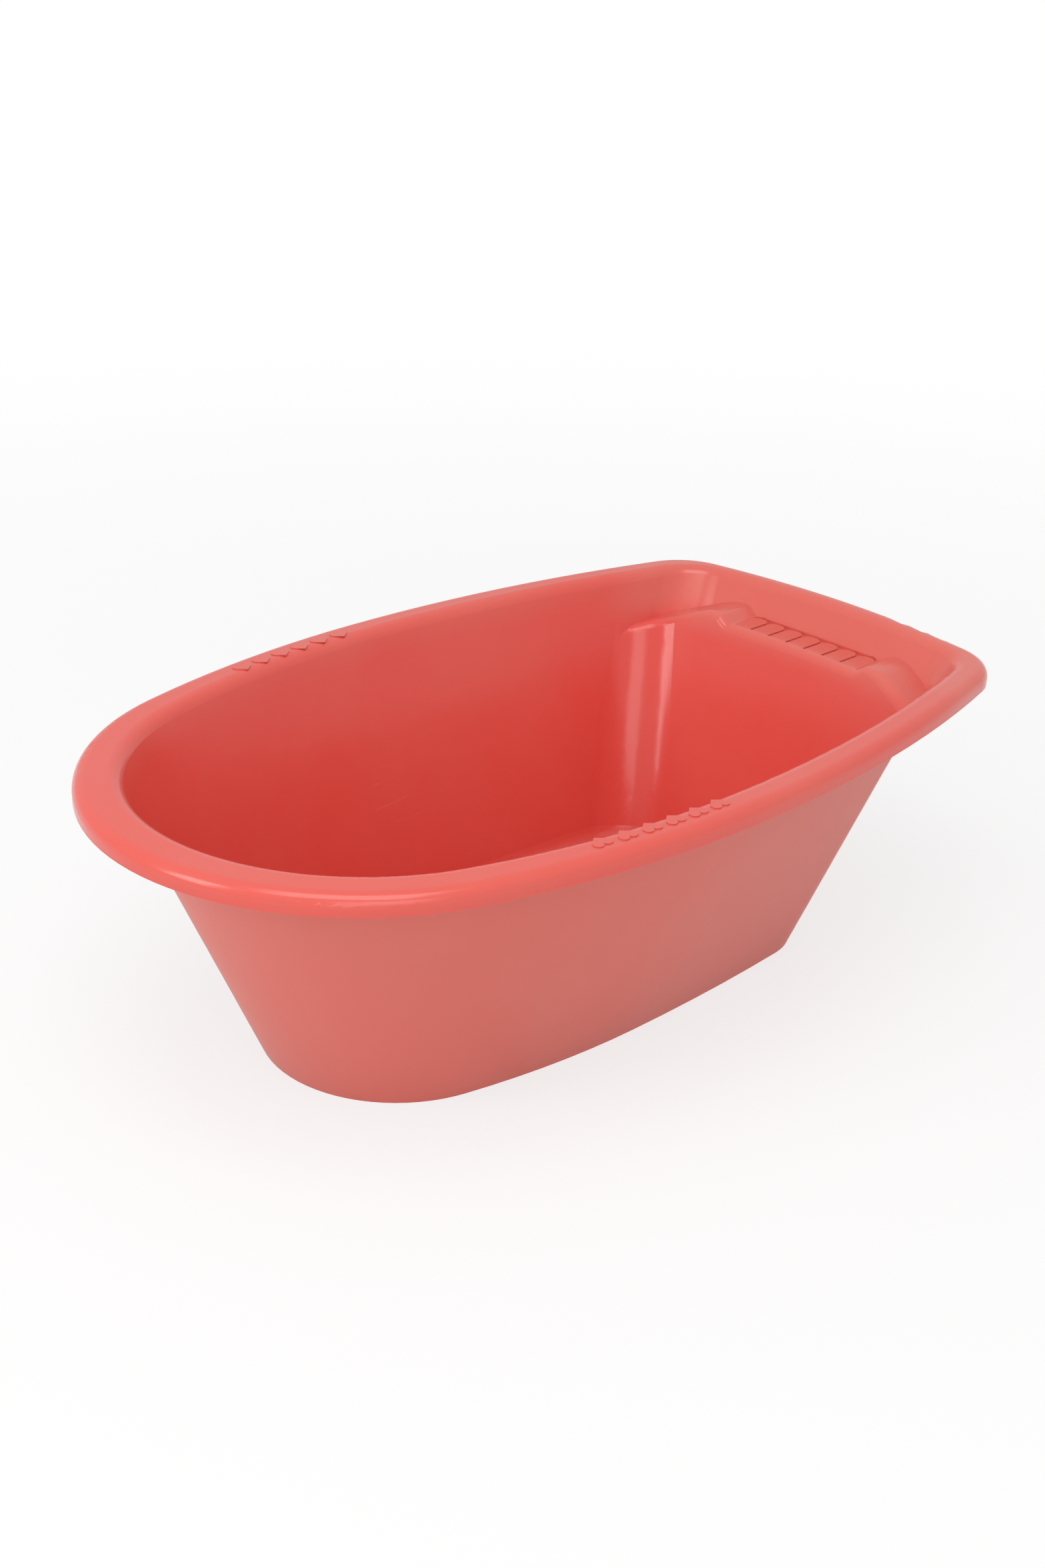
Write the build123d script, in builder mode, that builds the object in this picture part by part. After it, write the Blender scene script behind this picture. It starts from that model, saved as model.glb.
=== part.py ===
"""Baby bathtub: one thin-walled moulded tub with a rolled rim, a soap shelf and a floor drain with its plug.

Frame: millimetres, +Z up, the origin on the floor below the middle of the tub.
+X runs along the tub towards the foot end, where the soap shelf and the drain are.
"""
from build123d import *
import os
from math import atan2, cos, hypot, radians, sin, sqrt, tan

os.makedirs("parts", exist_ok=True)

# ---- driving dimensions ------------------------------------------------------------------
length = 800.0            # rim, head to foot
width = 500.0             # rim, at its widest
height = 250.0            # floor to the top of the rim
wall = 2.6                # tub wall
lean = 1.07               # a leaning wall's width measured level, over its thickness

# rim, seen from above
widest_from_middle = -4.0
rim_head_radius = 226.0
rim_aft_radius = 1219.0   # side, from the widest place to the foot corner
rim_corner_radius = 62.0
rim_foot_radius = 820.0   # the foot end is slightly bowed

# rim, in section
rim_plate = 2.8
rim_roll = 10.0           # outer rounding
rim_crest = 12.0          # rounding between the rim and the inside of the basin
rim_side = 30.0           # level width at the sides
rim_head = 36.0           # level width at the head
skirt_height = 16.0
skirt_wall = 2.4

# basin, at the level it stands on
base_head = 138.0         # setback of the base from the head of the rim
base_foot = 158.0         # setback of the base from the foot of the rim
base_half_width = 132.0
base_head_radius = 116.0
base_corner_radius = 60.0
base_aft_radius = 2000.0
floor_top = 10.0
floor_rounding = 25.0
foot_ring_wall = 2.6
foot_ring_depth = 34.0
foot_notch_length = 16.0
foot_notch_width = 36.0
foot_notch_height = 4.0

# soap shelf at the foot end
shelf_front = 67.0        # setback of the shelf's front, at rim height, from the foot of the rim
shelf_back = 20.0         # setback of the basin's edge behind the shelf
shelf_corner_radius = 50.0
shoulder_top = 228.0
shoulder_half_width = 104.0
shoulder_rounding = 40.0
flank_slope = 20.0
lip_rounding = 10.0
shelf_plate = 5.4         # thickness of the shelf, over its grooves 2.8
recess_corner_radius = 48.0
nest_gap = 2.0            # the shelf recess starts this far inside the basin walls
recess_side_ease = 1.05   # its sides are a little straighter, so they meet the basin's near the foot
recess_base_ease = 1.18

# soap dish in the shelf
dish_half_length = 76.0
dish_depth = 33.0
dish_end_slope = 12.0     # level run from the dish up to a shoulder
dish_end_rounding = 8.0
dish_front = 72.0         # front of the grooves, in from the foot of the rim
dish_top = 221.0
groove_depth = 2.6
groove_width = 2.8
pad_pitch = 21.7
pad_count = 7
pad_length = 29.5
pad_end_rounding = 8.0
pad_end_gap = 4.0         # the grooved field is this much shorter than the dish

# raised hearts on the rim
heart_count = 6
heart_pitch = 22.3
heart_row_middle = -82.0
heart_width = 17.0
heart_length = 14.0
heart_height = 0.9
heart_inset = 21.0        # middle of a heart, in from the edge of the rim

# drain
drain_from_foot = 222.0   # drain axis, in from the foot of the rim
drain_bore = 40.0
drain_seat_diameter = 60.0
drain_seat_depth = 4.2
drain_boss_wall = 4.0
drain_boss_clearance = 2.0   # boss above the level that the tub stands on
plug_side_clearance = 0.5
plug_flange_clearance = 1.0
plug_flange = 2.7
plug_edge_rounding = 1.0
seal_thickness = 1.5
seal_fit = 0.1
plug_stem_end = 3.0       # stem above the level that the tub stands on
plug_wall = 2.4
grip_length = 28.0
grip_wall = 5.0
grip_height = 11.0
grip_rounding = 2.2

# ---- outlines ----------------------------------------------------------------------------
head_x = -length / 2
foot_x = length / 2
level_wall = wall * lean


def circle_meeting(first, reach_first, second, reach_second):
    """Upper point at two given distances from two points."""
    gap = hypot(second[0] - first[0], second[1] - first[1])
    along = (reach_first**2 - reach_second**2 + gap**2) / (2 * gap)
    across = sqrt(reach_first**2 - along**2)
    ux, uy = (second[0] - first[0]) / gap, (second[1] - first[1]) / gap
    one = (first[0] + along * ux - across * uy, first[1] + along * uy + across * ux)
    two = (first[0] + along * ux + across * uy, first[1] + along * uy - across * ux)
    return max(one, two, key=lambda point: point[1])


def tangent_point(small, radius, large):
    """Where a small circle touches the large circle that holds it."""
    gap = hypot(small[0] - large[0], small[1] - large[1])
    return (small[0] + radius * (small[0] - large[0]) / gap, small[1] + radius * (small[1] - large[1]) / gap)


def arc_middle(centre, radius, start, end):
    """Middle point of the arc between two points of a circle."""
    first = atan2(start[1] - centre[1], start[0] - centre[0])
    last = atan2(end[1] - centre[1], end[0] - centre[0])
    turn = (first + last) / 2
    return (centre[0] + radius * cos(turn), centre[1] + radius * sin(turn))


def side_radius_of(head, half, head_radius):
    """Radius of the side arc that leaves the head arc smoothly and is level at the widest place."""
    offset = widest_from_middle - (head + head_radius)
    return (offset**2 + half**2 - head_radius**2) / (2 * (half - head_radius))


def half_outline(head, foot, half, head_radius, aft_radius, corner_radius, foot_radius):
    """Five tangent arcs from the head to the foot: head, side, aft side, corner and foot."""
    nose = (head + head_radius, 0)
    side_radius = side_radius_of(head, half, head_radius)
    side = (widest_from_middle, half - side_radius)
    aft = (widest_from_middle, half - aft_radius)
    end = (foot - foot_radius, 0)
    corner = circle_meeting(aft, aft_radius - corner_radius, end, foot_radius - corner_radius)
    stops = [
        (head, 0),
        tangent_point(nose, head_radius, side),
        (widest_from_middle, half),
        tangent_point(corner, corner_radius, aft),
        tangent_point(corner, corner_radius, end),
        (foot, 0),
    ]
    circles = [
        (nose, head_radius),
        (side, side_radius),
        (aft, aft_radius),
        (corner, corner_radius),
        (end, foot_radius),
    ]
    arcs = []
    for (centre, radius), start, stop in zip(circles, stops[:-1], stops[1:]):
        arcs.append((start, arc_middle(centre, radius, start, stop), stop))
    return arcs


def rim_outline(inset=0.0):
    """Edge of the rim, or a line parallel to it further in."""
    return half_outline(
        head_x + inset,
        foot_x - inset,
        width / 2 - inset,
        rim_head_radius - inset,
        rim_aft_radius - inset,
        rim_corner_radius - inset,
        rim_foot_radius - inset,
    )


def base_outline(inset=0.0):
    """Foot of the outer walls at the level that the tub stands on."""
    return half_outline(
        head_x + base_head + inset,
        foot_x - base_foot - inset,
        base_half_width - inset,
        base_head_radius - inset,
        base_aft_radius - inset,
        base_corner_radius - inset,
        rim_foot_radius - inset,
    )


def basin_outline(grow=0.0):
    """Inside of the basin walls at rim height, with the shelf's front as its foot end."""
    mean_inset = (rim_side + rim_head) / 2
    return half_outline(
        head_x + rim_head - grow,
        foot_x - shelf_front + grow,
        width / 2 - rim_side + grow,
        rim_head_radius - mean_inset + grow,
        rim_aft_radius - rim_side + grow,
        shelf_corner_radius + grow,
        rim_foot_radius + grow,
    )


def recess_outline(grow=0.0):
    """Inside of the basin walls at rim height, running back behind the shelf."""
    mean_inset = (rim_side + rim_head) / 2
    inner = width / 2 - rim_side
    return half_outline(
        head_x + rim_head + nest_gap - grow,
        foot_x - shelf_back + grow,
        inner - nest_gap + grow,
        rim_head_radius - mean_inset - nest_gap + grow,
        rim_aft_radius * recess_side_ease + grow,
        recess_corner_radius + grow,
        rim_foot_radius + grow,
    )


def recess_base_outline(grow=0.0):
    """The same walls carried down to the level that the tub stands on."""
    inset = level_wall + nest_gap - grow
    return half_outline(
        head_x + base_head + inset,
        foot_x - base_foot - inset,
        base_half_width - inset,
        base_head_radius - inset,
        base_aft_radius * recess_base_ease,
        base_corner_radius - inset,
        rim_foot_radius - inset,
    )



def draw_outline(arcs):
    """Closed outline from its upper half and the mirrored lower half."""
    for start, middle, stop in arcs:
        ThreePointArc(start, middle, stop)
    for start, middle, stop in reversed(arcs):
        ThreePointArc((stop[0], -stop[1]), (middle[0], -middle[1]), (start[0], -start[1]))


def draw_heart(side):
    """Heart outline: two round lobes towards the edge of the rim and a tip towards the basin."""
    lobe = heart_width / 4
    shoulder = side * (heart_length / 2 - lobe)
    tip = (0, -side * heart_length / 2)
    for turn in (1, -1):
        outer = (turn * 2 * lobe, shoulder)
        top = (turn * lobe, shoulder + side * lobe)
        ThreePointArc((0, shoulder), top, outer)
        Bezier(outer, (turn * 2 * lobe, shoulder - side * lobe), (turn * lobe, tip[1] + side * lobe), tip)


def near_level(edges, level):
    """Edges that lie flat at one height."""
    return edges.filter_by(lambda edge: abs(edge.bounding_box().min.Z - level) < 0.01
                           and abs(edge.bounding_box().max.Z - level) < 0.01)


# ---- tools for the shell -----------------------------------------------------------------
with BuildPart() as basin_hollow:
    with BuildSketch(Plane.XY):
        with BuildLine():
            draw_outline(base_outline(level_wall))
        make_face()
    with BuildSketch(Plane.XY.offset(height)):
        with BuildLine():
            draw_outline(basin_outline())
        make_face()
    loft(ruled=True)
    split(bisect_by=Plane.XY.offset(floor_top), keep=Keep.TOP)
    fillet(near_level(basin_hollow.edges(), floor_top), floor_rounding)

with BuildPart() as basin_skin:
    with BuildSketch(Plane.XY):
        with BuildLine():
            draw_outline(base_outline())
        make_face()
    with BuildSketch(Plane.XY.offset(height)):
        with BuildLine():
            draw_outline(basin_outline(level_wall))
        make_face()
    loft(ruled=True)

with BuildPart() as basin_underside:
    with BuildSketch(Plane.XY):
        with BuildLine():
            draw_outline(base_outline())
        make_face()
    with BuildSketch(Plane.XY.offset(height)):
        with BuildLine():
            draw_outline(basin_outline(level_wall))
        make_face()
    loft(ruled=True)
    split(bisect_by=Plane.XY.offset(floor_top - wall), keep=Keep.TOP)
    fillet(near_level(basin_underside.edges(), floor_top - wall), floor_rounding + wall)

with BuildPart() as under_floor:
    with BuildSketch(Plane.XY.offset(-1)):
        with BuildLine():
            draw_outline(base_outline(foot_ring_wall * lean))
        make_face()
    extrude(amount=foot_ring_depth, taper=-20)
    add(basin_underside.part, mode=Mode.SUBTRACT)



def shelf_recess(grow, drop):
    """Space above the shelf: the basin carried back to the rim, with the shelf's arched top as its floor."""
    top = shoulder_top - drop
    dip = dish_top - drop
    dish_end = dish_half_length + dish_end_slope
    flank_run = top / tan(radians(flank_slope))
    with BuildPart() as space:
        with BuildSketch(Plane.XY):
            with BuildLine():
                draw_outline(recess_base_outline(grow))
            make_face()
        with BuildSketch(Plane.XY.offset(height)):
            with BuildLine():
                draw_outline(recess_outline(grow))
            make_face()
        loft(ruled=True)
        with BuildSketch(Plane.YZ.offset(head_x)) as arch:
            with BuildLine():
                Polyline(
                    (-shoulder_half_width - flank_run, 0),
                    (-shoulder_half_width, top),
                    (-dish_end, top),
                    (-dish_half_length, dip),
                    (dish_half_length, dip),
                    (dish_end, top),
                    (shoulder_half_width, top),
                    (shoulder_half_width + flank_run, 0),
                    close=True,
                )
            make_face()
            corners = arch.vertices().filter_by(lambda vertex: vertex.Y > 1)
            shoulders = corners.filter_by(lambda vertex: abs(abs(vertex.X) - shoulder_half_width) < 0.01)
            fillet(shoulders, shoulder_rounding)
            corners = arch.vertices().filter_by(lambda vertex: vertex.Y > 1)
            ends = corners.filter_by(lambda vertex: min(abs(abs(vertex.X) - dish_end),
                                                        abs(abs(vertex.X) - dish_half_length)) < 0.01)
            fillet(ends, dish_end_rounding)
        extrude(amount=length, mode=Mode.SUBTRACT)
    return space.part


# ---- tub shell ---------------------------------------------------------------------------
with BuildPart() as under_rim:
    with BuildSketch(Plane.XY.offset(height - skirt_height - 1)):
        with BuildLine():
            draw_outline(rim_outline(skirt_wall))
        make_face()
    extrude(amount=skirt_height + 1 - rim_plate)
    fillet(near_level(under_rim.edges(), height - rim_plate), rim_roll - skirt_wall)

with BuildPart() as rim:
    with BuildSketch(Plane.XY.offset(height - skirt_height)):
        with BuildLine():
            draw_outline(rim_outline())
        make_face()
    extrude(amount=skirt_height)
    fillet(near_level(rim.edges(), height), rim_roll)
    add(under_rim.part, mode=Mode.SUBTRACT)

groove_floor = dish_top - groove_depth
dish_middle = foot_x - dish_front + dish_depth / 2
with BuildPart() as grooves:
    with BuildSketch(Plane.XY.offset(groove_floor)):
        with Locations((dish_middle, 0)):
            RectangleRounded(dish_depth, 2 * dish_half_length - pad_end_gap, pad_end_rounding)
    extrude(amount=groove_depth + 1)
    with BuildSketch(Plane.XY.offset(groove_floor)) as pads:
        with Locations((foot_x - dish_front, 0)):
            with GridLocations(0, pad_pitch, 1, pad_count):
                RectangleRounded(2 * pad_length, pad_pitch - groove_width, pad_end_rounding)
    extrude(amount=groove_depth + 1, mode=Mode.SUBTRACT)

shelf_space = shelf_recess(0, 0)
shelf_skin = shelf_recess(level_wall, shelf_plate)

drain_x = foot_x - drain_from_foot
seat_floor = floor_top - drain_seat_depth
shelf_front_x = foot_x - shelf_front


def on_shelf_lip(edge):
    """True for the long edges where the shelf's top turns down into its front."""
    box = edge.bounding_box()
    in_front = box.max.X < shelf_front_x and box.min.X > shelf_front_x - shelf_corner_radius
    on_arch = box.min.Z > height / 2 and box.max.Z < height - rim_crest
    return in_front and on_arch and edge.length > lip_rounding / 3


with BuildPart() as tub_shell:
    add(basin_skin.part)
    add(shelf_skin)
    add(rim.part)
    add(under_floor.part, mode=Mode.SUBTRACT)
    add(basin_hollow.part, mode=Mode.SUBTRACT)
    add(shelf_space, mode=Mode.SUBTRACT)

    fillet(tub_shell.edges().filter_by(on_shelf_lip), lip_rounding)
    rim_top = tub_shell.faces().filter_by(Axis.Z).sort_by(Axis.Z)[-1]
    fillet(rim_top.inner_wires()[0].edges(), rim_crest)

    add(grooves.part, mode=Mode.SUBTRACT)

    # drain: a boss under the floor, a seat sunk into it and the bore
    with BuildSketch(Plane.XY.offset(drain_boss_clearance)):
        with Locations((drain_x, 0)):
            Circle(drain_seat_diameter / 2 + drain_boss_wall)
    extrude(amount=floor_top - drain_boss_clearance)
    with BuildSketch(Plane.XY.offset(seat_floor)):
        with Locations((drain_x, 0)):
            Circle(drain_seat_diameter / 2)
    extrude(amount=drain_seat_depth, mode=Mode.SUBTRACT)
    with BuildSketch(Plane.XY):
        with Locations((drain_x, 0)):
            Circle(drain_bore / 2)
    extrude(amount=seat_floor, mode=Mode.SUBTRACT)

    # notch in the foot ring, so the drained water runs out
    with BuildSketch(Plane.XY):
        with Locations((foot_x - base_foot, 0)):
            Rectangle(foot_notch_length, foot_notch_width)
    extrude(amount=foot_notch_height, mode=Mode.SUBTRACT)

    # two rows of raised hearts, their tips towards the basin
    side_radius = side_radius_of(head_x, width / 2, rim_head_radius)
    for place in range(heart_count):
        heart_x = heart_row_middle + (place - (heart_count - 1) / 2) * heart_pitch
        bow = side_radius - sqrt(side_radius**2 - (heart_x - widest_from_middle)**2)
        heart_y = width / 2 - bow - heart_inset
        for side in (1, -1):
            with BuildSketch(Plane((heart_x, side * heart_y, height), x_dir=(1, 0, 0), z_dir=(0, 0, 1))):
                with BuildLine():
                    draw_heart(side)
                make_face()
            extrude(amount=heart_height)

tub_shell.part.label = "tub_shell"
export_step(tub_shell.part, "parts/tub_shell.step")

# ---- drain plug and its seal -------------------------------------------------------------
plug_flange_radius = drain_seat_diameter / 2 - plug_flange_clearance
plug_stem_radius = drain_bore / 2 - plug_side_clearance
plug_flange_floor = seat_floor + seal_thickness
with BuildPart() as drain_plug:
    with BuildSketch(Plane.XY.offset(plug_flange_floor)):
        with Locations((drain_x, 0)):
            Circle(plug_flange_radius)
    extrude(amount=plug_flange)
    fillet(near_level(drain_plug.edges(), plug_flange_floor + plug_flange), plug_edge_rounding)
    with BuildSketch(Plane.XY.offset(plug_stem_end)):
        with Locations((drain_x, 0)):
            Circle(plug_stem_radius)
            Circle(plug_stem_radius - plug_wall, mode=Mode.SUBTRACT)
    extrude(amount=plug_flange_floor - plug_stem_end)
    with BuildSketch(Plane.XY.offset(plug_flange_floor + plug_flange)):
        with Locations((drain_x, 0)):
            SlotOverall(grip_length, grip_wall, rotation=90)
    extrude(amount=grip_height)
    fillet(near_level(drain_plug.edges(), plug_flange_floor + plug_flange + grip_height), grip_rounding)
drain_plug.part.label = "drain_plug"
export_step(drain_plug.part, "parts/drain_plug.step")

with BuildPart() as plug_seal:
    with BuildSketch(Plane.XY.offset(seat_floor)):
        with Locations((drain_x, 0)):
            Circle(plug_flange_radius)
            Circle(plug_stem_radius + seal_fit, mode=Mode.SUBTRACT)
    extrude(amount=seal_thickness)
plug_seal.part.label = "plug_seal"
export_step(plug_seal.part, "parts/plug_seal.step")
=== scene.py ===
import math

import bpy
from bpy.props import FloatProperty, FloatVectorProperty, PointerProperty
from mathutils import Matrix, Vector


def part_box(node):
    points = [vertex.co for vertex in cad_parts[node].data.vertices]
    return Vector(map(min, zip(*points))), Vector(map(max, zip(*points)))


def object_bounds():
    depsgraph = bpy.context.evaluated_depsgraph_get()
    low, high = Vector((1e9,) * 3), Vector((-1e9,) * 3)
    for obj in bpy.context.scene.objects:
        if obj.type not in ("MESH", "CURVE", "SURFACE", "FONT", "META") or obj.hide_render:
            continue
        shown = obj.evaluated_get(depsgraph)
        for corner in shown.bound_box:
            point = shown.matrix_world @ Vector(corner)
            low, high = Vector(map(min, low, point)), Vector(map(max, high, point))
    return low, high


bl_info = {
    "name": "Baby Bathtub",
    "version": (1, 0, 0),
    "blender": (4, 5, 0),
    "location": "View3D > Sidebar > Bathtub",
    "description": "Finishes a moulded baby bathtub with its drain plug and sets up a plain studio",
    "category": "Object",
}

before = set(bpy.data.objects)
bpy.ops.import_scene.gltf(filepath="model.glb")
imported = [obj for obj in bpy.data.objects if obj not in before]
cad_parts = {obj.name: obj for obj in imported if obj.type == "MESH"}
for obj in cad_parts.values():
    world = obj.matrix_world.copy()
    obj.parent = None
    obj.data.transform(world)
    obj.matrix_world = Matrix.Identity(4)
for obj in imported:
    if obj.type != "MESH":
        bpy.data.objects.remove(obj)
cad_box = [list(corner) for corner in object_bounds()]

# Heights and places on the tub, in metres
RIM_TOP = cad_box[1][2]
FOOT_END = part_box("tub_shell")[1][0]
SKIRT_EDGE = RIM_TOP - 0.0165               # just above the lower edge of the rolled rim
SKIRT_FADE = (SKIRT_EDGE - 0.004, SKIRT_EDGE)       # heights over which the satin outside ends
RIM_FADE = (RIM_TOP - 0.03, RIM_TOP - 0.004)        # heights over which the rim begins
# the shelf mask places only painted sheen at the foot end
SHELF_FADE = (RIM_TOP - 0.05, RIM_TOP - 0.025)      # heights over which the shelf begins
SHELF_START = (FOOT_END - 0.17, FOOT_END - 0.08)    # the same along the tub

# Shares of the pale colour, from 0 to 1: painted sheen on the outside, the rim and the shelf; cloudy patches
# and scuffs are the plastic's own tone and wear
OUTSIDE_PAINTED_SHEEN = 0.62
RIM_PAINTED_SHEEN = 0.20
SHELF_PAINTED_SHEEN = 0.50
CLOUD_PALENESS = 0.22
SCUFF_PALENESS = 0.08

# Shares of the step from the inside's roughness to the outside's
SCUFF_WEAR = 0.35
RIM_WEAR = 0.04
CLOUD_WEAR = 0.10

# Floor of the studio
FLOOR_HALF = 40.0                           # half its side, in metres
FLOOR_LIT = (0.80, 0.80, 0.80)              # its colour under the lamps
FLOOR_WHITE_NEAR = 0.73                     # share of plain white beside the tub, where its shadow shows
FLOOR_WHITE_FADE = (0.5, 2.5)               # distances over which that share rises to 1
PLAIN_WHITE = 1.0                           # strength at which a background is white to the camera

# Lamps: each stands at a place, looks at a point and has a width and a height, in metres
KEY_PLACE, KEY_AIM, KEY_SIZE = (-0.9, -0.6, 2.4), (0, 0, 0.1), (1.8, 1.4)
FRONT_PLACE, FRONT_AIM, FRONT_SIZE = (-1.6, -2.2, 1.3), (0, 0, 0.15), (1.4, 1.2)
FRONT_SHARE = 0.45                          # of the key light's power
PANE_MIDDLE, PANE_AIM, PANE_SIZE = (-2.2, 0.62, 1.35), (0.3, 0.1, 0.1), (0.27, 1.1)
PANE_OFFSET = 0.19                          # of each of the two window panes from their middle, along Y


# ---- settings ----------------------------------------------------------------------------
class TubSettings(bpy.types.PropertyGroup):
    """Colours and finishes of the moulded tub."""

    plastic: FloatVectorProperty(
        name="Plastic", description="Colour of the moulded plastic", subtype="COLOR",
        default=(0.68, 0.073, 0.056), size=3, min=0, max=1)
    # pale colour used for painted sheen on the outside, rim and shelf, and for the plastic's cloudy patches
    # and scuffs
    pale_tone_and_sheen: FloatVectorProperty(
        name="Pale tone and painted sheen", description="Paler colour mixed in for painted sheen on the outside, rim and shelf, and for cloudy patches and scuffs",
        subtype="COLOR", default=(0.64, 0.175, 0.135), size=3, min=0, max=1)
    inside_roughness: FloatProperty(
        name="Inside roughness", description="Roughness of the polished inside of the basin",
        default=0.17, min=0, max=1, subtype="FACTOR")
    outside_roughness: FloatProperty(
        name="Outside roughness", description="Roughness of the satin outside of the walls",
        default=0.46, min=0, max=1, subtype="FACTOR")


class PlugSettings(bpy.types.PropertyGroup):
    """Colours of the drain plug and its seal."""

    plug: FloatVectorProperty(
        name="Plug", description="Colour of the drain plug", subtype="COLOR",
        default=(0.80, 0.77, 0.72), size=3, min=0, max=1)
    seal: FloatVectorProperty(
        name="Seal", description="Colour of the rubber seal", subtype="COLOR",
        default=(0.035, 0.035, 0.038), size=3, min=0, max=1)


class StudioSettings(bpy.types.PropertyGroup):
    """Camera and light of the studio."""

    camera_place: FloatVectorProperty(
        name="Camera", description="Where the camera stands", subtype="TRANSLATION", unit="LENGTH",
        default=(-1.0715, -1.1445, 0.9039), size=3)
    camera_turn: FloatVectorProperty(
        name="Camera turn", description="Heading, tilt and roll of the camera", unit="ROTATION",
        default=(math.radians(47.22), math.radians(-24.88), math.radians(1.16)), size=3)
    lens: FloatProperty(
        name="Lens", description="Focal length in millimetres on a 36 mm sensor",
        default=47.3, min=10, max=200)
    key_power: FloatProperty(
        name="Key light", description="Power of the large soft light in watts", default=23.0, min=0)
    window_power: FloatProperty(
        name="Window light", description="Power of each narrow window light in watts", default=6.0, min=0)
    fill_strength: FloatProperty(
        name="Fill", description="Strength of the even light from all around", default=0.75, min=0)


# ---- shader helpers ----------------------------------------------------------------------
def new_group(name, inputs, outputs):
    """Empty shader node group with named sockets."""
    group = bpy.data.node_groups.new(name, "ShaderNodeTree")
    for label, kind, default in inputs:
        socket = group.interface.new_socket(name=label, in_out="INPUT", socket_type=kind)
        socket.default_value = default
    for label, kind in outputs:
        group.interface.new_socket(name=label, in_out="OUTPUT", socket_type=kind)
    return group


def math_node(tree, operation, first, second=None, third=None):
    """Math node whose inputs are numbers or other nodes' outputs."""
    node = tree.nodes.new("ShaderNodeMath")
    node.operation = operation
    for index, value in enumerate((first, second, third)):
        if value is None:
            continue
        if isinstance(value, (int, float)):
            node.inputs[index].default_value = value
        else:
            tree.links.new(value, node.inputs[index])
    return node.outputs[0]


def smooth_step(tree, value, low, high):
    """0 below low, 1 above high and a smooth rise between them."""
    node = tree.nodes.new("ShaderNodeMapRange")
    node.interpolation_type = "SMOOTHSTEP"
    tree.links.new(value, node.inputs["Value"])
    node.inputs["From Min"].default_value = low
    node.inputs["From Max"].default_value = high
    return node.outputs["Result"]


def noise(tree, vector, scale, detail=3.0, roughness=0.5):
    """Noise of a given scale on a vector."""
    node = tree.nodes.new("ShaderNodeTexNoise")
    node.inputs["Scale"].default_value = scale
    node.inputs["Detail"].default_value = detail
    node.inputs["Roughness"].default_value = roughness
    tree.links.new(vector, node.inputs["Vector"])
    return node.outputs["Fac"]


def moulding_marks_group():
    """Marks of a moulded plastic surface: slow waves, fine grain, scuffs and cloudy patches.

    Height is a slow wave of the cooling wall plus a fine grain; Cloud is a broad patchiness of the colour;
    Scuff is a thin set of stretched scratches that shows where two noises are both high.
    It is built once, by the first material that asks for it.
    """
    if "moulding_marks" in bpy.data.node_groups:
        return bpy.data.node_groups["moulding_marks"]
    group = new_group(
        "moulding_marks",
        [("Vector", "NodeSocketVector", (0, 0, 0)), ("Grain", "NodeSocketFloat", 0.3),
         ("Wave", "NodeSocketFloat", 0.5)],
        [("Height", "NodeSocketFloat"), ("Cloud", "NodeSocketFloat"), ("Scuff", "NodeSocketFloat")])
    place = group.nodes.new("NodeGroupInput")
    result = group.nodes.new("NodeGroupOutput")
    vector = place.outputs["Vector"]
    slow = noise(group, vector, 7.0, 1.0)
    grain = noise(group, vector, 900.0, 2.0)
    wave = math_node(group, "MULTIPLY", slow, place.outputs["Wave"])
    height = math_node(group, "MULTIPLY_ADD", grain, place.outputs["Grain"], wave)
    group.links.new(height, result.inputs["Height"])
    group.links.new(noise(group, vector, 3.2, 4.0, 0.6), result.inputs["Cloud"])
    stretch = group.nodes.new("ShaderNodeMapping")
    stretch.inputs["Scale"].default_value = (9.0, 60.0, 140.0)
    stretch.inputs["Rotation"].default_value = (0.2, 0.35, 0.5)
    group.links.new(vector, stretch.inputs["Vector"])
    lines = smooth_step(group, noise(group, stretch.outputs["Vector"], 1.6, 2.0), 0.66, 0.74)
    patches = smooth_step(group, noise(group, vector, 5.0, 2.0), 0.52, 0.7)
    group.links.new(math_node(group, "MULTIPLY", lines, patches), result.inputs["Scuff"])
    return group


def tub_sides_group():
    """Which side of the moulded wall a point is on.

    Outside rises where the surface faces away from the upright middle line and lies below the rolled rim;
    Rim rises near rim height; Shelf rises at the foot end from just below the soap shelf up.
    """
    group = new_group(
        "tub_sides", [("Vector", "NodeSocketVector", (0, 0, 0)), ("Facing", "NodeSocketVector", (0, 0, 1))],
        [("Outside", "NodeSocketFloat"), ("Rim", "NodeSocketFloat"), ("Shelf", "NodeSocketFloat")])
    place = group.nodes.new("NodeGroupInput")
    result = group.nodes.new("NodeGroupOutput")
    flat = group.nodes.new("ShaderNodeVectorMath")
    flat.operation = "MULTIPLY"
    flat.inputs[1].default_value = (0.4, 1.0, 0.0)
    group.links.new(place.outputs["Vector"], flat.inputs[0])
    unit = group.nodes.new("ShaderNodeVectorMath")
    unit.operation = "NORMALIZE"
    group.links.new(flat.outputs[0], unit.inputs[0])
    away = group.nodes.new("ShaderNodeVectorMath")
    away.operation = "DOT_PRODUCT"
    group.links.new(unit.outputs[0], away.inputs[0])
    group.links.new(place.outputs["Facing"], away.inputs[1])
    split = group.nodes.new("ShaderNodeSeparateXYZ")
    group.links.new(place.outputs["Vector"], split.inputs[0])
    level = split.outputs["Z"]
    outward = smooth_step(group, away.outputs["Value"], 0.05, 0.35)
    below = math_node(group, "SUBTRACT", 1.0, smooth_step(group, level, *SKIRT_FADE))
    group.links.new(math_node(group, "MULTIPLY", outward, below), result.inputs["Outside"])
    group.links.new(smooth_step(group, level, *RIM_FADE), result.inputs["Rim"])
    high = smooth_step(group, level, *SHELF_FADE)
    at_foot = smooth_step(group, split.outputs["X"], *SHELF_START)
    group.links.new(math_node(group, "MULTIPLY", high, at_foot), result.inputs["Shelf"])
    return group


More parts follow.
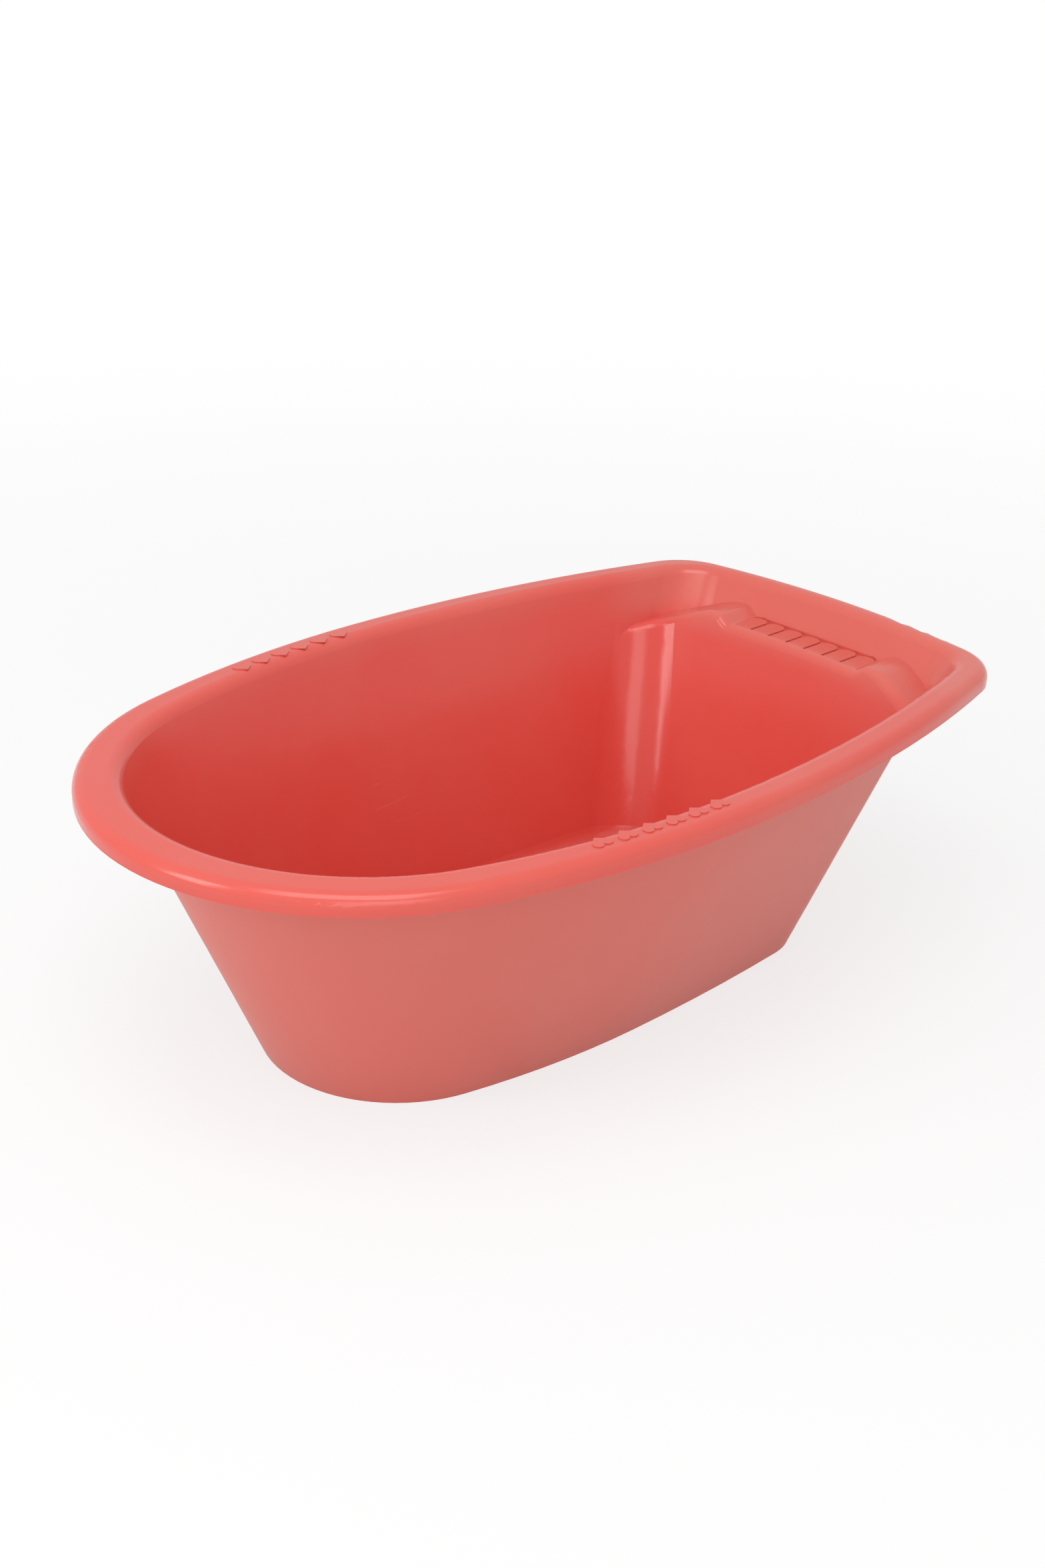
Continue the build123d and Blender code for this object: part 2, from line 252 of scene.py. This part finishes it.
def start_material(name):
    """New material: itself, its tree, its Principled shader and the object coordinates."""
    material = bpy.data.materials.new(name)
    material.use_nodes = True
    tree = material.node_tree
    tree.nodes.clear()
    shader = tree.nodes.new("ShaderNodeBsdfPrincipled")
    output = tree.nodes.new("ShaderNodeOutputMaterial")
    tree.links.new(shader.outputs[0], output.inputs[0])
    coordinates = tree.nodes.new("ShaderNodeTexCoord")
    return material, tree, shader, coordinates.outputs["Object"]


def use_group(tree, group, vector, **values):
    """Places a node group and sets its plain inputs."""
    node = tree.nodes.new("ShaderNodeGroup")
    node.node_tree = group
    tree.links.new(vector, node.inputs["Vector"])
    for key, value in values.items():
        node.inputs[key].default_value = value
    return node


def mix_colour(tree, factor, first, second):
    """Mix of two colours, each a tuple or another node's output."""
    node = tree.nodes.new("ShaderNodeMix")
    node.data_type = "RGBA"
    tree.links.new(factor, node.inputs[0])
    for socket, value in ((node.inputs[6], first), (node.inputs[7], second)):
        if isinstance(value, bpy.types.NodeSocket):
            tree.links.new(value, socket)
        else:
            socket.default_value = (*value, 1.0)
    return node.outputs[2]


def set_bump(tree, shader, height, distance, strength):
    """Bump from a height."""
    bump = tree.nodes.new("ShaderNodeBump")
    bump.inputs["Distance"].default_value = distance
    bump.inputs["Strength"].default_value = strength
    tree.links.new(height, bump.inputs["Height"])
    tree.links.new(bump.outputs["Normal"], shader.inputs["Normal"])


def tub_plastic(settings):
    """Coral plastic, polished in the basin and satin on the outside of the walls, with painted sheen paling
    the outside, the rim and the foot-end shelf.
    """
    material, tree, shader, place = start_material("tub_plastic")
    facing = tree.nodes.new("ShaderNodeNewGeometry").outputs["Normal"]
    sides = use_group(tree, tub_sides_group(), place)
    tree.links.new(facing, sides.inputs["Facing"])
    marks = use_group(tree, moulding_marks_group(), place, Grain=0.10, Wave=0.8)
    plain = tuple(settings.plastic)
    # the pale colour: painted sheen on the outside, rim and shelf, plus cloudy patches and scuffs
    light = tuple(settings.pale_tone_and_sheen)
    cloudy = smooth_step(tree, marks.outputs["Cloud"], 0.35, 0.75)
    cloudy = math_node(tree, "MULTIPLY", cloudy, CLOUD_PALENESS)
    # painted sheen: the outside walls, the rim and the foot-end shelf are paled in colour where light falls
    # on them
    outside = math_node(tree, "MULTIPLY", sides.outputs["Outside"], OUTSIDE_PAINTED_SHEEN)
    rim = math_node(tree, "MULTIPLY", sides.outputs["Rim"], RIM_PAINTED_SHEEN)
    shelf = math_node(tree, "MULTIPLY", sides.outputs["Shelf"], SHELF_PAINTED_SHEEN)
    sheen_and_pale_tone = math_node(tree, "MAXIMUM", math_node(tree, "MAXIMUM", outside, rim), shelf)
    sheen_and_pale_tone = math_node(tree, "ADD", sheen_and_pale_tone, cloudy)
    sheen_and_pale_tone = math_node(tree, "MULTIPLY_ADD", marks.outputs["Scuff"], SCUFF_PALENESS, sheen_and_pale_tone)
    colour = mix_colour(tree, sheen_and_pale_tone, plain, light)
    tree.links.new(colour, shader.inputs["Base Color"])
    rough = tree.nodes.new("ShaderNodeMapRange")
    rough.inputs["To Min"].default_value = settings.inside_roughness
    rough.inputs["To Max"].default_value = settings.outside_roughness
    wear = math_node(tree, "MULTIPLY_ADD", marks.outputs["Scuff"], SCUFF_WEAR, sides.outputs["Outside"])
    wear = math_node(tree, "MULTIPLY_ADD", sides.outputs["Rim"], RIM_WEAR, wear)
    wear = math_node(tree, "MULTIPLY_ADD", marks.outputs["Cloud"], CLOUD_WEAR, wear)
    tree.links.new(wear, rough.inputs["Value"])
    tree.links.new(rough.outputs["Result"], shader.inputs["Roughness"])
    shader.inputs["IOR"].default_value = 1.49
    shader.inputs["Subsurface Weight"].default_value = 0.12
    shader.inputs["Subsurface Radius"].default_value = (1.0, 0.25, 0.2)
    shader.inputs["Subsurface Scale"].default_value = 0.006
    set_bump(tree, shader, marks.outputs["Height"], 0.0012, 0.35)
    return material


def plug_plastic(settings):
    """Off-white plastic of the plug, with a little soap film in its cloudy patches."""
    material, tree, shader, place = start_material("plug_plastic")
    marks = use_group(tree, moulding_marks_group(), place, Grain=0.25, Wave=0.3)
    film = math_node(tree, "MULTIPLY", smooth_step(tree, marks.outputs["Cloud"], 0.4, 0.7), 0.35)
    plain = tuple(settings.plug)
    colour = mix_colour(tree, film, plain, tuple(channel * 0.86 for channel in plain))
    tree.links.new(colour, shader.inputs["Base Color"])
    rough = math_node(tree, "MULTIPLY_ADD", marks.outputs["Cloud"], 0.2, 0.22)
    tree.links.new(rough, shader.inputs["Roughness"])
    set_bump(tree, shader, marks.outputs["Height"], 0.0004, 0.3)
    return material


def seal_rubber(settings):
    """Matt dark rubber of the plug's washer."""
    material, tree, shader, place = start_material("seal_rubber")
    marks = use_group(tree, moulding_marks_group(), place, Grain=0.8, Wave=0.1)
    plain = tuple(settings.seal)
    dusty = tuple(channel * 1.8 + 0.01 for channel in plain)
    colour = mix_colour(tree, smooth_step(tree, marks.outputs["Cloud"], 0.35, 0.75), plain, dusty)
    tree.links.new(colour, shader.inputs["Base Color"])
    rough = math_node(tree, "MULTIPLY_ADD", marks.outputs["Cloud"], 0.2, 0.6)
    tree.links.new(rough, shader.inputs["Roughness"])
    set_bump(tree, shader, marks.outputs["Height"], 0.0003, 0.5)
    return material


def finish_node(name, material):
    """Gives a node of the frame its material."""
    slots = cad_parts[name].data.materials
    slots.clear()
    slots.append(material)


# ---- studio helpers ----------------------------------------------------------------------
def camera_matrix(place, turn):
    """Camera placed by its heading, tilt and roll.

    It looks along (cos tilt cos heading, cos tilt sin heading, sin tilt), and roll turns it about that line.
    """
    heading, tilt, roll = turn
    ahead = Vector((math.cos(tilt) * math.cos(heading), math.cos(tilt) * math.sin(heading), math.sin(tilt)))
    right = ahead.cross(Vector((0, 0, 1))).normalized()
    up = right.cross(ahead)
    right_rolled = math.cos(roll) * right + math.sin(roll) * up
    up_rolled = math.cos(roll) * up - math.sin(roll) * right
    matrix = Matrix((right_rolled, up_rolled, -ahead)).transposed().to_4x4()
    matrix.translation = Vector(place)
    return matrix


def white_to_camera(material, lit_colour):
    """Material lit as a pale floor near the object, and plain white to the camera far from it."""
    tree = material.node_tree
    tree.nodes.clear()
    output = tree.nodes.new("ShaderNodeOutputMaterial")
    diffuse = tree.nodes.new("ShaderNodeBsdfDiffuse")
    diffuse.inputs["Color"].default_value = (*lit_colour, 1)
    glow = tree.nodes.new("ShaderNodeEmission")
    glow.inputs["Strength"].default_value = PLAIN_WHITE
    path = tree.nodes.new("ShaderNodeLightPath")
    seen = math_node(tree, "MAXIMUM", path.outputs["Is Camera Ray"], path.outputs["Is Glossy Ray"])
    seen = math_node(tree, "MAXIMUM", seen, path.outputs["Is Transmission Ray"])
    coordinates = tree.nodes.new("ShaderNodeTexCoord")
    distance = tree.nodes.new("ShaderNodeVectorMath")
    distance.operation = "LENGTH"
    tree.links.new(coordinates.outputs["Object"], distance.inputs[0])
    far = smooth_step(tree, distance.outputs["Value"], *FLOOR_WHITE_FADE)
    white = math_node(tree, "MULTIPLY_ADD", far, 1.0 - FLOOR_WHITE_NEAR, FLOOR_WHITE_NEAR)
    share = math_node(tree, "MULTIPLY", seen, white)
    mix = tree.nodes.new("ShaderNodeMixShader")
    tree.links.new(share, mix.inputs[0])
    tree.links.new(diffuse.outputs[0], mix.inputs[1])
    tree.links.new(glow.outputs[0], mix.inputs[2])
    tree.links.new(mix.outputs[0], output.inputs[0])


def area_light(name, place, aim, size, power):
    """Rectangular light at a place, turned to a point."""
    data = bpy.data.lights.new(name, "AREA")
    data.shape = "RECTANGLE"
    data.size, data.size_y = size
    data.energy = power
    light = bpy.data.objects.new(name, data)
    light.location = place
    light.rotation_euler = (Vector(aim) - Vector(place)).to_track_quat("-Z", "Y").to_euler()
    bpy.context.scene.collection.objects.link(light)


# ---- operators ---------------------------------------------------------------------------
class BATHTUB_OT_shell(bpy.types.Operator):
    """Finishes the moulded tub: polished basin, satin walls and a rim paled with painted sheen"""

    bl_idname = "bathtub.shell"
    bl_label = "Finish Tub Shell"

    def execute(self, context):
        finish_node("tub_shell", tub_plastic(context.scene.bathtub_tub))
        return {"FINISHED"}


class BATHTUB_OT_plug(bpy.types.Operator):
    """Finishes the drain plug and its rubber seal"""

    bl_idname = "bathtub.plug"
    bl_label = "Finish Drain Plug"

    def execute(self, context):
        settings = context.scene.bathtub_plug
        finish_node("drain_plug", plug_plastic(settings))
        finish_node("plug_seal", seal_rubber(settings))
        return {"FINISHED"}


class BATHTUB_OT_studio(bpy.types.Operator):
    """Sets up the camera, the floor and the soft light"""

    bl_idname = "bathtub.studio"
    bl_label = "Set Up Studio"

    def execute(self, context):
        settings = context.scene.bathtub_studio
        camera_data = bpy.data.cameras.new("camera")
        camera_data.lens = settings.lens
        camera_data.clip_start = 0.01
        camera = bpy.data.objects.new("camera", camera_data)
        camera.matrix_world = camera_matrix(settings.camera_place, settings.camera_turn)
        context.scene.collection.objects.link(camera)
        context.scene.camera = camera

        half = FLOOR_HALF
        corners = [(-half, -half, 0), (half, -half, 0), (half, half, 0), (-half, half, 0)]
        mesh = bpy.data.meshes.new("floor")
        mesh.from_pydata(corners, [], [(0, 1, 2, 3)])
        floor = bpy.data.objects.new("floor", mesh)
        context.scene.collection.objects.link(floor)
        floor_paint = bpy.data.materials.new("floor_paint")
        floor_paint.use_nodes = True
        white_to_camera(floor_paint, FLOOR_LIT)
        mesh.materials.append(floor_paint)

        area_light("key_light", KEY_PLACE, KEY_AIM, KEY_SIZE, settings.key_power)
        area_light("front_light", FRONT_PLACE, FRONT_AIM, FRONT_SIZE, settings.key_power * FRONT_SHARE)
        for side in (-1, 1):
            pane = (PANE_MIDDLE[0], PANE_MIDDLE[1] + side * PANE_OFFSET, PANE_MIDDLE[2])
            area_light("window_light", pane, PANE_AIM, PANE_SIZE, settings.window_power)

        world = bpy.data.worlds.new("studio_air")
        world.use_nodes = True
        context.scene.world = world
        tree = world.node_tree
        tree.nodes.clear()
        path = tree.nodes.new("ShaderNodeLightPath")
        seen = math_node(tree, "MAXIMUM", path.outputs["Is Camera Ray"], path.outputs["Is Transmission Ray"])
        strength = tree.nodes.new("ShaderNodeMapRange")
        strength.inputs["To Min"].default_value = settings.fill_strength
        strength.inputs["To Max"].default_value = PLAIN_WHITE
        tree.links.new(seen, strength.inputs["Value"])
        background = tree.nodes.new("ShaderNodeBackground")
        background.inputs["Color"].default_value = (1, 1, 1, 1)
        output = tree.nodes.new("ShaderNodeOutputWorld")
        tree.links.new(strength.outputs["Result"], background.inputs["Strength"])
        tree.links.new(background.outputs[0], output.inputs[0])
        context.scene.view_settings.view_transform = "Standard"
        return {"FINISHED"}


class BATHTUB_PT_panel(bpy.types.Panel):
    """Lists the steps that finish the bathtub"""

    bl_idname = "BATHTUB_PT_panel"
    bl_label = "Baby Bathtub"
    bl_space_type = "VIEW_3D"
    bl_region_type = "UI"
    bl_category = "Bathtub"

    def draw(self, context):
        scene = context.scene
        for settings in (scene.bathtub_tub, scene.bathtub_plug, scene.bathtub_studio):
            box = self.layout.box()
            for name in type(settings).__annotations__:
                box.prop(settings, name)
        for operator in OPERATORS:
            self.layout.operator(operator.bl_idname)


OPERATORS = (BATHTUB_OT_shell, BATHTUB_OT_plug, BATHTUB_OT_studio)
CLASSES = (TubSettings, PlugSettings, StudioSettings, *OPERATORS, BATHTUB_PT_panel)


def register():
    """Registers the classes and puts the settings on the scene."""
    for cls in CLASSES:
        bpy.utils.register_class(cls)
    bpy.types.Scene.bathtub_tub = PointerProperty(type=TubSettings)
    bpy.types.Scene.bathtub_plug = PointerProperty(type=PlugSettings)
    bpy.types.Scene.bathtub_studio = PointerProperty(type=StudioSettings)


def unregister():
    """Takes the settings off the scene and the classes out."""
    del bpy.types.Scene.bathtub_studio
    del bpy.types.Scene.bathtub_plug
    del bpy.types.Scene.bathtub_tub
    for cls in reversed(CLASSES):
        bpy.utils.unregister_class(cls)


def main():
    register()
    bpy.ops.bathtub.studio()
    bpy.ops.bathtub.shell()
    bpy.ops.bathtub.plug()


if __name__ == "__main__":
    main()
